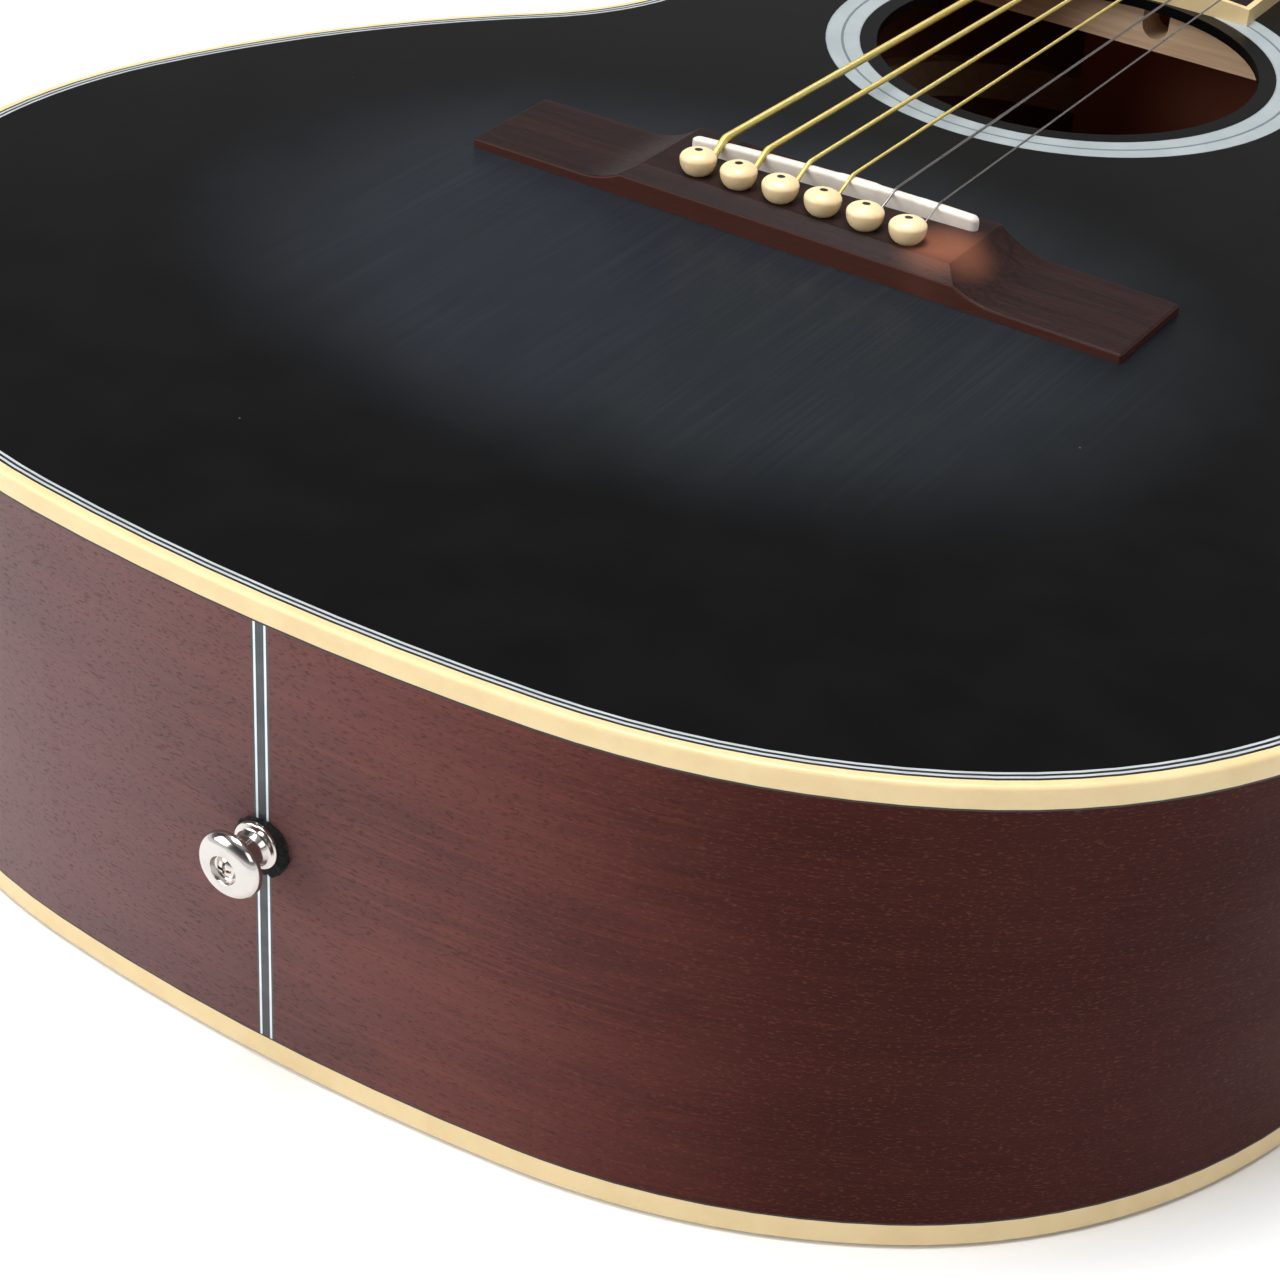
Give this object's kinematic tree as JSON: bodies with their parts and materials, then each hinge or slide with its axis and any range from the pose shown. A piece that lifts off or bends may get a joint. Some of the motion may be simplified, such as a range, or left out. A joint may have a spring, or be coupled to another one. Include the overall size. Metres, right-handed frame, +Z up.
{
  "type": "acoustic guitar",
  "caption": "Small-bodied flat-top acoustic steel-string guitar with a dark burst top, bound edges, fixed pin bridge and geared tuners, lying on its back.",
  "frame": {"origin": "on the ground plane under the middle of the overall length, on the centre line, with the guitar lying on its back", "axes": "+Y runs from the tail to the headstock, +X to the treble side, +Z up out of the ground plane through the back and soundboard"},
  "size_m": [0.3762, 1.029, 0.1149],
  "materials": {
    "top_black": "satin black sunburst lacquer over straight-grained spruce",
    "mahogany": "satin dark red-brown open-pore mahogany",
    "inside_wood": "raw pale spruce and mahogany",
    "cream_binding": "satin cream plastic",
    "black_line": "black fibre line",
    "white_line": "off-white fibre line",
    "graft_grey": "dark grey fibre",
    "rosette": "pale grey-white inlay rings",
    "rosewood": "oiled dark rosewood with open grain",
    "bone": "off-white bone",
    "pin_cream": "cream moulded plastic",
    "pin_dot": "black dot",
    "nickel": "polished nickel plate",
    "steel": "plain steel",
    "felt": "black felt",
    "head_black": "black headstock facing",
    "pearl": "pearl-like plastic dots",
    "bronze": "bronze-wound steel wire",
    "plain_string": "plain steel wire with a ball end",
    "button_cream": "cream moulded plastic tuner button"
  },
  "bodies": {
    "guitar": {"soundboard": "top_black", "back": "mahogany", "side_bass": "mahogany", "side_treble": "mahogany", "neck_block": "inside_wood", "tail_block": "inside_wood", "linings": "inside_wood", "top_binding": "cream_binding", "back_binding": "cream_binding", "purfling_white": "white_line", "purfling_black": "black_line", "end_graft": "graft_grey", "end_graft_lines": "white_line", "rosette_rings": "rosette", "top_braces": "inside_wood", "bridge_plate": "inside_wood", "back_braces": "inside_wood", "bridge": "rosewood", "saddle": "bone", "bridge_pins": "pin_cream", "bridge_pin_dots": "pin_dot", "strap_button": "nickel", "strap_button_screw": "nickel", "strap_button_felt": "felt", "neck": "mahogany", "heel_cap": "cream_binding", "fretboard": "rosewood", "fretboard_binding": "cream_binding", "frets": "nickel", "fret_markers": "pearl", "nut": "bone", "headstock_plate": "head_black", "truss_rod": "steel", "tuner_plates": "nickel", "tuner_bushings": "nickel", "tuner_screws": "nickel", "string_1": "plain_string", "string_2": "plain_string", "string_3": "bronze", "string_4": "bronze", "string_5": "bronze", "string_6": "bronze"},
    "tuner_knob_1": {"tuner_worm_1": "nickel", "tuner_button_1": "button_cream"},
    "post_1": {"string_post_1": "nickel"},
    "tuner_knob_2": {"tuner_worm_2": "nickel", "tuner_button_2": "button_cream"},
    "post_2": {"string_post_2": "nickel"},
    "tuner_knob_3": {"tuner_worm_3": "nickel", "tuner_button_3": "button_cream"},
    "post_3": {"string_post_3": "nickel"},
    "tuner_knob_4": {"tuner_worm_4": "nickel", "tuner_button_4": "button_cream"},
    "post_4": {"string_post_4": "nickel"},
    "tuner_knob_5": {"tuner_worm_5": "nickel", "tuner_button_5": "button_cream"},
    "post_5": {"string_post_5": "nickel"},
    "tuner_knob_6": {"tuner_worm_6": "nickel", "tuner_button_6": "button_cream"},
    "post_6": {"string_post_6": "nickel"}
  },
  "joints": [
    {"name": "tuner_turn_1", "type": "hinge", "parent": "guitar", "child": "tuner_knob_1", "pos_m": [0.019, 0.38683, 0.03218], "axis": [1, 0, 0], "continuous": true},
    {"name": "post_turn_1", "type": "hinge", "parent": "guitar", "child": "post_1", "pos_m": [0.019, 0.3836, 0.05094], "axis": [0, 0.2323, 0.9726], "continuous": true},
    {"name": "tuner_turn_2", "type": "hinge", "parent": "guitar", "child": "tuner_knob_2", "pos_m": [0.019, 0.42379, 0.02335], "axis": [1, 0, 0], "continuous": true},
    {"name": "post_turn_2", "type": "hinge", "parent": "guitar", "child": "post_2", "pos_m": [0.019, 0.42057, 0.04211], "axis": [0, 0.2323, 0.9726], "continuous": true},
    {"name": "tuner_turn_3", "type": "hinge", "parent": "guitar", "child": "tuner_knob_3", "pos_m": [0.019, 0.46076, 0.01452], "axis": [1, 0, 0], "continuous": true},
    {"name": "post_turn_3", "type": "hinge", "parent": "guitar", "child": "post_3", "pos_m": [0.019, 0.45753, 0.03328], "axis": [0, 0.2323, 0.9726], "continuous": true},
    {"name": "tuner_turn_4", "type": "hinge", "parent": "guitar", "child": "tuner_knob_4", "pos_m": [-0.019, 0.46076, 0.01452], "axis": [1, 0, 0], "continuous": true},
    {"name": "post_turn_4", "type": "hinge", "parent": "guitar", "child": "post_4", "pos_m": [-0.019, 0.45753, 0.03328], "axis": [0, 0.2323, 0.9726], "continuous": true},
    {"name": "tuner_turn_5", "type": "hinge", "parent": "guitar", "child": "tuner_knob_5", "pos_m": [-0.019, 0.42379, 0.02335], "axis": [1, 0, 0], "continuous": true},
    {"name": "post_turn_5", "type": "hinge", "parent": "guitar", "child": "post_5", "pos_m": [-0.019, 0.42057, 0.04211], "axis": [0, 0.2323, 0.9726], "continuous": true},
    {"name": "tuner_turn_6", "type": "hinge", "parent": "guitar", "child": "tuner_knob_6", "pos_m": [-0.019, 0.38683, 0.03218], "axis": [1, 0, 0], "continuous": true},
    {"name": "post_turn_6", "type": "hinge", "parent": "guitar", "child": "post_6", "pos_m": [-0.019, 0.3836, 0.05094], "axis": [0, 0.2323, 0.9726], "continuous": true}
  ],
  "couplings": [
    {"joint": "post_turn_1", "follows": "tuner_turn_1", "ratio": 0.071429},
    {"joint": "post_turn_2", "follows": "tuner_turn_2", "ratio": 0.071429},
    {"joint": "post_turn_3", "follows": "tuner_turn_3", "ratio": 0.071429},
    {"joint": "post_turn_4", "follows": "tuner_turn_4", "ratio": -0.071429},
    {"joint": "post_turn_5", "follows": "tuner_turn_5", "ratio": -0.071429},
    {"joint": "post_turn_6", "follows": "tuner_turn_6", "ratio": -0.071429}
  ]
}
